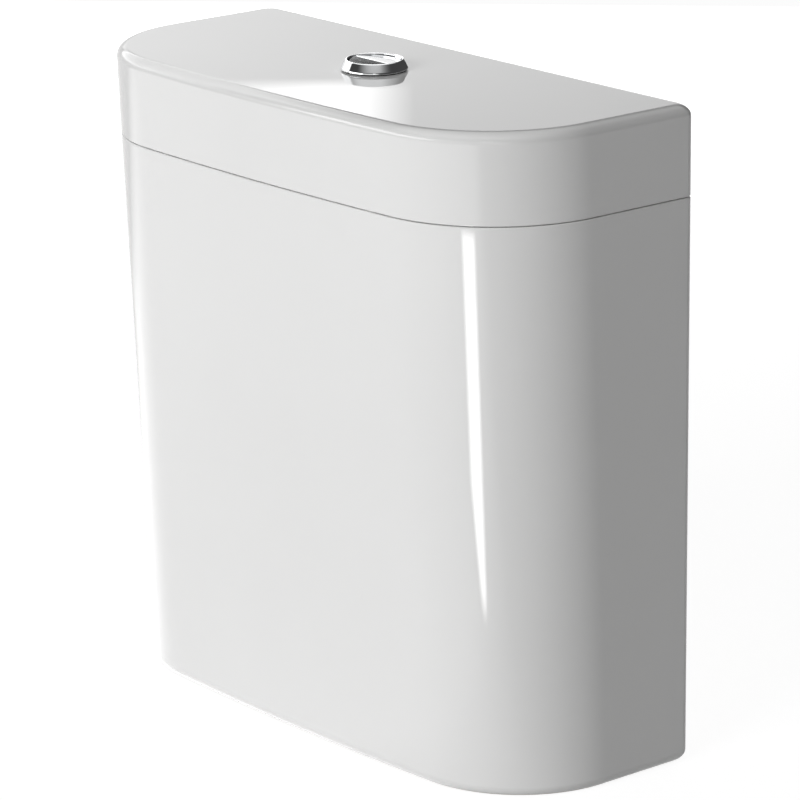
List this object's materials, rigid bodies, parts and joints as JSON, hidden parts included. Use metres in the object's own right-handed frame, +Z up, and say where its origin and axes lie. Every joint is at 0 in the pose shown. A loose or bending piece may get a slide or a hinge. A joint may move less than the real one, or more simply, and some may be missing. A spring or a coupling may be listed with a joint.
{
  "type": "close-coupled toilet cistern",
  "caption": "White ceramic close-coupled toilet cistern with a D-shaped plan, flush lift-off lid, chrome dual push button, flush valve with overflow and bottom-entry fill valve.",
  "frame": {"origin": "centre of the footprint, on the plane of the foot rim", "axes": "+Z up, +Y towards the wall, +X to the right seen from the front; the front faces -Y"},
  "size_m": [0.39, 0.1676, 0.4068],
  "materials": {
    "glazed_ceramic": "white gloss glaze",
    "chrome": "bright plated",
    "white_plastic": "moulded, satin",
    "blue_plastic": "moulded",
    "green_plastic": "moulded",
    "float_plastic": "moulded, translucent look",
    "black_rubber": "matt",
    "pale_rubber": "soft, pale grey",
    "red_silicone": "soft silicone",
    "steel": "drawn wire and pin stock",
    "brass": "turned"
  },
  "bodies": {
    "tank": {"cistern_tank": "glazed_ceramic", "lid_buffers": "pale_rubber", "valve_base": "white_plastic", "base_washer": "black_rubber", "back_nut": "white_plastic", "coupling_gasket": "black_rubber", "lower_frame": "white_plastic", "valve_cage": "white_plastic", "cage_top": "white_plastic", "lever_pins": "steel", "inlet_shank": "white_plastic", "inlet_washer": "black_rubber", "inlet_lock_nut": "white_plastic", "inlet_strainer": "float_plastic", "riser_tube": "white_plastic", "riser_sleeve": "white_plastic", "riser_lock_ring": "blue_plastic", "fill_head": "white_plastic", "head_cap": "white_plastic", "diaphragm": "black_rubber", "float_lever_pin": "steel", "silencer_tube": "float_plastic"},
    "lid": {"cistern_lid": "glazed_ceramic", "button_bezel": "chrome", "bezel_gasket": "black_rubber", "button_nut": "white_plastic", "button_guide": "white_plastic", "full_button_spring": "steel", "half_button_spring": "steel"},
    "full_button": {"full_flush_button": "chrome", "full_push_rod": "white_plastic"},
    "half_button": {"half_flush_button": "chrome", "half_push_rod": "white_plastic"},
    "full_rocker": {"full_lever": "blue_plastic"},
    "half_rocker": {"half_lever": "green_plastic"},
    "flush_tube": {"overflow_tube": "white_plastic", "seal_carrier": "white_plastic", "lift_yoke": "blue_plastic", "tube_float": "float_plastic", "float_clip": "blue_plastic", "main_seal": "red_silicone", "seal_retainer": "white_plastic"},
    "half_slider": {"half_link": "green_plastic", "half_float": "green_plastic"},
    "fill_float": {"float_cup": "float_plastic", "cup_lid": "float_plastic"},
    "float_rocker": {"float_lever": "blue_plastic"},
    "level_adjuster": {"level_screw": "brass"}
  },
  "joints": [
    {"name": "lid_lift", "type": "slide", "parent": "tank", "child": "lid", "axis": [0, 0, 1], "range_m": [0, 0.2]},
    {"name": "full_press", "type": "slide", "parent": "lid", "child": "full_button", "axis": [0, 0, -1], "range_m": [0, 0.008], "stiffness_N_per_m": 300, "springref_m": -0.004, "deforming": ["full_button_spring"]},
    {"name": "half_press", "type": "slide", "parent": "lid", "child": "half_button", "axis": [0, 0, -1], "range_m": [0, 0.008], "stiffness_N_per_m": 300, "springref_m": -0.004, "deforming": ["half_button_spring"]},
    {"name": "full_rock", "type": "hinge", "parent": "tank", "child": "full_rocker", "pos_m": [-0.024, 0.01482, 0.2937], "axis": [0, 1, 0], "range_deg": [0, 25.5]},
    {"name": "half_rock", "type": "hinge", "parent": "tank", "child": "half_rocker", "pos_m": [0.024, -0.00118, 0.2937], "axis": [0, -1, 0], "range_deg": [0, 25.5]},
    {"name": "valve_lift", "type": "slide", "parent": "tank", "child": "flush_tube", "axis": [0, 0, 1], "range_m": [0, 0.007]},
    {"name": "half_release", "type": "slide", "parent": "tank", "child": "half_slider", "axis": [0, 0, 1], "range_m": [0, 0.007]},
    {"name": "float_rise", "type": "slide", "parent": "tank", "child": "fill_float", "axis": [0, 0, 1], "range_m": [0, 0.01]},
    {"name": "float_rock", "type": "hinge", "parent": "tank", "child": "float_rocker", "pos_m": [-0.116, 0.01382, 0.32798], "axis": [0, -1, 0], "range_deg": [0, 21]},
    {"name": "level_turn", "type": "hinge", "parent": "fill_float", "child": "level_adjuster", "pos_m": [-0.088, 0.01382, 0.3], "axis": [0, 0, 1], "continuous": true}
  ],
  "couplings": [
    {"joint": "full_rock", "follows": "full_press", "rad_per_m": 54.326},
    {"joint": "valve_lift", "follows": "full_press", "ratio": 0.85},
    {"joint": "half_rock", "follows": "half_press", "rad_per_m": 54.326},
    {"joint": "half_release", "follows": "half_press", "ratio": 0.85},
    {"joint": "float_rock", "follows": "float_rise", "rad_per_m": 35.907}
  ]
}
